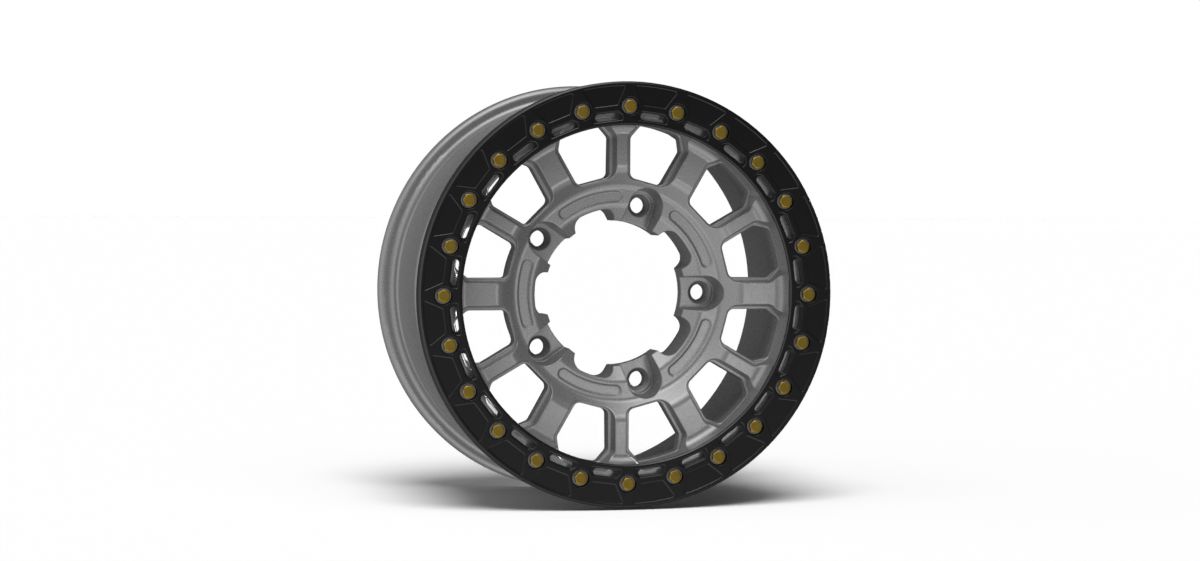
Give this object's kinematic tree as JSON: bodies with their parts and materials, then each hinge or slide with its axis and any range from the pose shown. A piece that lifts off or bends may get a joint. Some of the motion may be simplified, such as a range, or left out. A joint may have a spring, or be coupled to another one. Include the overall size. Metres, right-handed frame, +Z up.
{
  "type": "beadlock wheel",
  "caption": "Cast light-alloy wheel with short spokes, windows and a black bolted ring that clamps the outer tyre bead.",
  "frame": {"origin": "on the axle's centre line, in the plane of the hub's mounting face", "axes": "+Y along the axle towards the vehicle (inboard), -Y outboard where the bolted ring is, +Z up, +X to the right when the outboard face is looked at"},
  "size_m": [0.4714, 0.243, 0.4714],
  "materials": {
    "casting": "satin metallic grey",
    "ring": "satin black",
    "bolt": "yellow zinc plate",
    "washer": "zinc plate",
    "insert": "plain steel"
  },
  "bodies": {
    "root": {"wheel": "casting", "beadlock_ring": "ring", "ring_bolt_01": "bolt", "ring_bolt_02": "bolt", "ring_bolt_03": "bolt", "ring_bolt_04": "bolt", "ring_bolt_05": "bolt", "ring_bolt_06": "bolt", "ring_bolt_07": "bolt", "ring_bolt_08": "bolt", "ring_bolt_09": "bolt", "ring_bolt_10": "bolt", "ring_bolt_11": "bolt", "ring_bolt_12": "bolt", "ring_bolt_13": "bolt", "ring_bolt_14": "bolt", "ring_bolt_15": "bolt", "ring_bolt_16": "bolt", "ring_bolt_17": "bolt", "ring_bolt_18": "bolt", "ring_bolt_19": "bolt", "ring_bolt_20": "bolt", "ring_bolt_21": "bolt", "ring_bolt_22": "bolt", "ring_bolt_23": "bolt", "ring_bolt_24": "bolt", "ring_washer_01": "washer", "ring_washer_02": "washer", "ring_washer_03": "washer", "ring_washer_04": "washer", "ring_washer_05": "washer", "ring_washer_06": "washer", "ring_washer_07": "washer", "ring_washer_08": "washer", "ring_washer_09": "washer", "ring_washer_10": "washer", "ring_washer_11": "washer", "ring_washer_12": "washer", "ring_washer_13": "washer", "ring_washer_14": "washer", "ring_washer_15": "washer", "ring_washer_16": "washer", "ring_washer_17": "washer", "ring_washer_18": "washer", "ring_washer_19": "washer", "ring_washer_20": "washer", "ring_washer_21": "washer", "ring_washer_22": "washer", "ring_washer_23": "washer", "ring_washer_24": "washer", "thread_inserts": "insert"}
  },
  "joints": []
}
